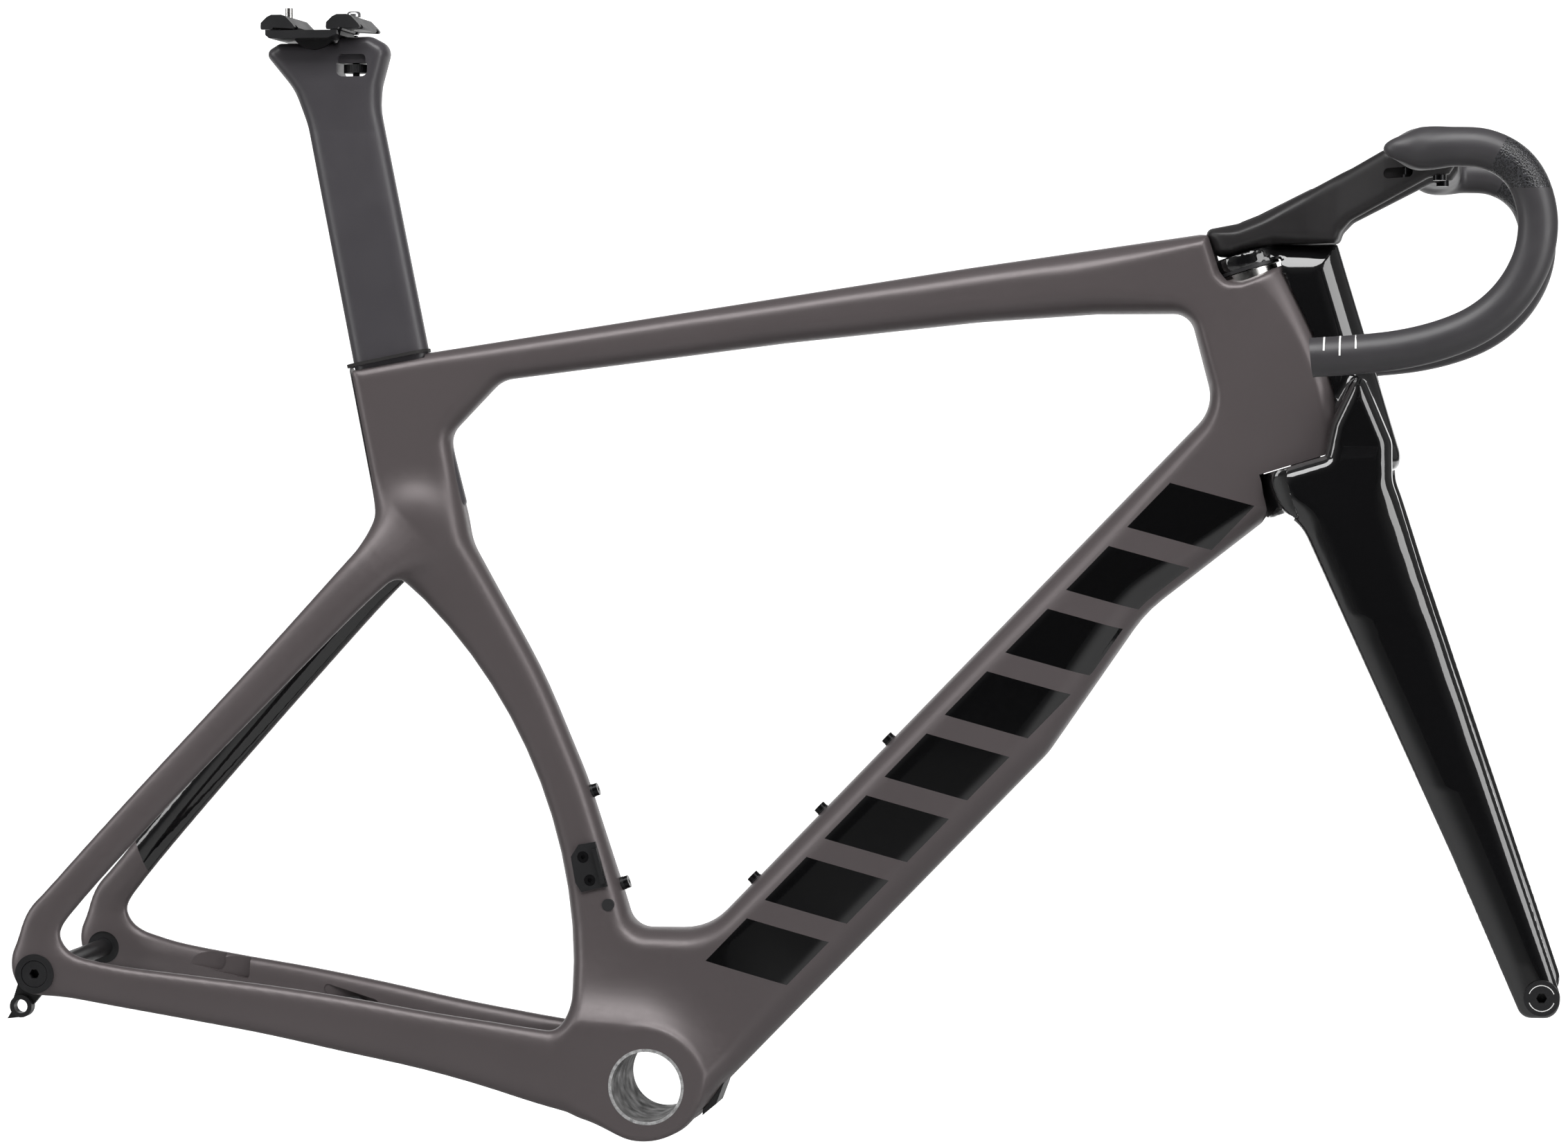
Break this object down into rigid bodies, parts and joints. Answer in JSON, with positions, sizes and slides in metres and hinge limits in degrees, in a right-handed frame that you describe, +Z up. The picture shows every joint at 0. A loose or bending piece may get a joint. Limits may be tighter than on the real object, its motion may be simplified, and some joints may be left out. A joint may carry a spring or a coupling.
{
  "type": "bicycle frameset",
  "caption": "Aero road bicycle frame with fork, one-piece drop bar on a forked stem, aero seatpost with saddle clamp, and thru-axles.",
  "frame": {"origin": "centre of the bottom bracket bore", "axes": "+X forward, +Y to the rider's left, +Z up; the drive side is -Y"},
  "size_m": [1.008, 0.4238, 0.7375],
  "materials": {
    "frame_matte": "matte warm graphite paint",
    "fork_gloss": "gloss black clear coat",
    "stem_matte": "matte black",
    "bar_matte": "matte dark grey",
    "post_satin": "satin dark grey",
    "black_alloy": "black anodised",
    "raw_alloy": "machined",
    "black_steel": "black oxide",
    "bright_steel": "polished",
    "black_plastic": "moulded",
    "rubber_black": "matte"
  },
  "bodies": {
    "frame": {"axle_insert_left": "black_alloy", "axle_insert_right": "black_alloy", "bb_cable_cover": "black_plastic", "bb_shell": "frame_matte", "bb_sleeve": "raw_alloy", "bottle_bolts": "black_steel", "bottle_bosses": "black_alloy", "cable_grommet": "black_plastic", "chainstay_left": "frame_matte", "chainstay_right": "frame_matte", "derailleur_hanger": "black_alloy", "down_tube": "frame_matte", "dropout_left": "frame_matte", "dropout_right": "frame_matte", "fd_blanking_plug": "black_plastic", "fd_mount_plate": "black_alloy", "fd_mount_screws": "black_steel", "hanger_screw": "black_steel", "head_tube": "frame_matte", "lower_bearing_outer_race": "bright_steel", "rear_brake_inserts": "raw_alloy", "seat_tube": "frame_matte", "seatpost_seal": "rubber_black", "seatpost_wedge": "black_alloy", "seatpost_wedge_bolt": "black_steel", "seatstay_left": "frame_matte", "seatstay_right": "frame_matte", "top_tube": "frame_matte", "upper_bearing_outer_race": "bright_steel"},
    "front_end": {"fork_column": "fork_gloss", "fork_crown": "fork_gloss", "fork_blade_right": "fork_gloss", "fork_blade_left": "fork_gloss", "fork_tip_right": "fork_gloss", "fork_tip_left": "fork_gloss", "lower_bearing_inner_race": "bright_steel", "lower_bearing_balls": "bright_steel", "upper_bearing_inner_race": "bright_steel", "upper_bearing_balls": "bright_steel", "steering_pivot_tube": "raw_alloy", "steering_pivot_bolt": "black_steel", "steering_pivot_nut": "black_steel", "upper_bearing_cover": "black_plastic", "stem": "stem_matte", "stem_cover": "stem_matte", "bar_bolts": "black_steel", "handlebar": "bar_matte"},
    "front_axle": {"front_axle": "black_alloy"},
    "rear_axle": {"rear_axle": "black_alloy"},
    "seatpost": {"seatpost": "post_satin"},
    "saddle_clamp": {"saddle_cradle": "black_alloy", "rail_yokes": "black_alloy", "clamp_bolts": "bright_steel", "clamp_nut": "raw_alloy"},
    "tilt_adjuster": {"tilt_wheel": "black_alloy", "tilt_rod": "bright_steel"}
  },
  "joints": [
    {"name": "steering", "type": "hinge", "parent": "frame", "child": "front_end", "pos_m": [0.50236, 0, 0.15359], "axis": [-0.2924, 0, 0.9563], "range_deg": [-30, 30]},
    {"name": "seatpost_height", "type": "slide", "parent": "frame", "child": "seatpost", "axis": [-0.1959, 0, 0.9806], "range_m": [-0.018, 0.04]},
    {"name": "saddle_tilt", "type": "hinge", "parent": "seatpost", "child": "saddle_clamp", "pos_m": [-0.227, 0, 0.694], "axis": [0, 1, 0], "range_deg": [-3, 3]},
    {"name": "tilt_adjust", "type": "hinge", "parent": "seatpost", "child": "tilt_adjuster", "pos_m": [-0.201, 0, 0.666], "axis": [0, 0, 1], "range_deg": [-620, 620]},
    {"name": "rear_axle_pull", "type": "slide", "parent": "frame", "child": "rear_axle", "axis": [0, -1, 0], "range_m": [0, 0.17]},
    {"name": "front_axle_pull", "type": "slide", "parent": "front_end", "child": "front_axle", "axis": [0, -1, 0], "range_m": [0, 0.125]}
  ],
  "couplings": [
    {"joint": "tilt_adjust", "follows": "saddle_tilt", "ratio": 204}
  ]
}
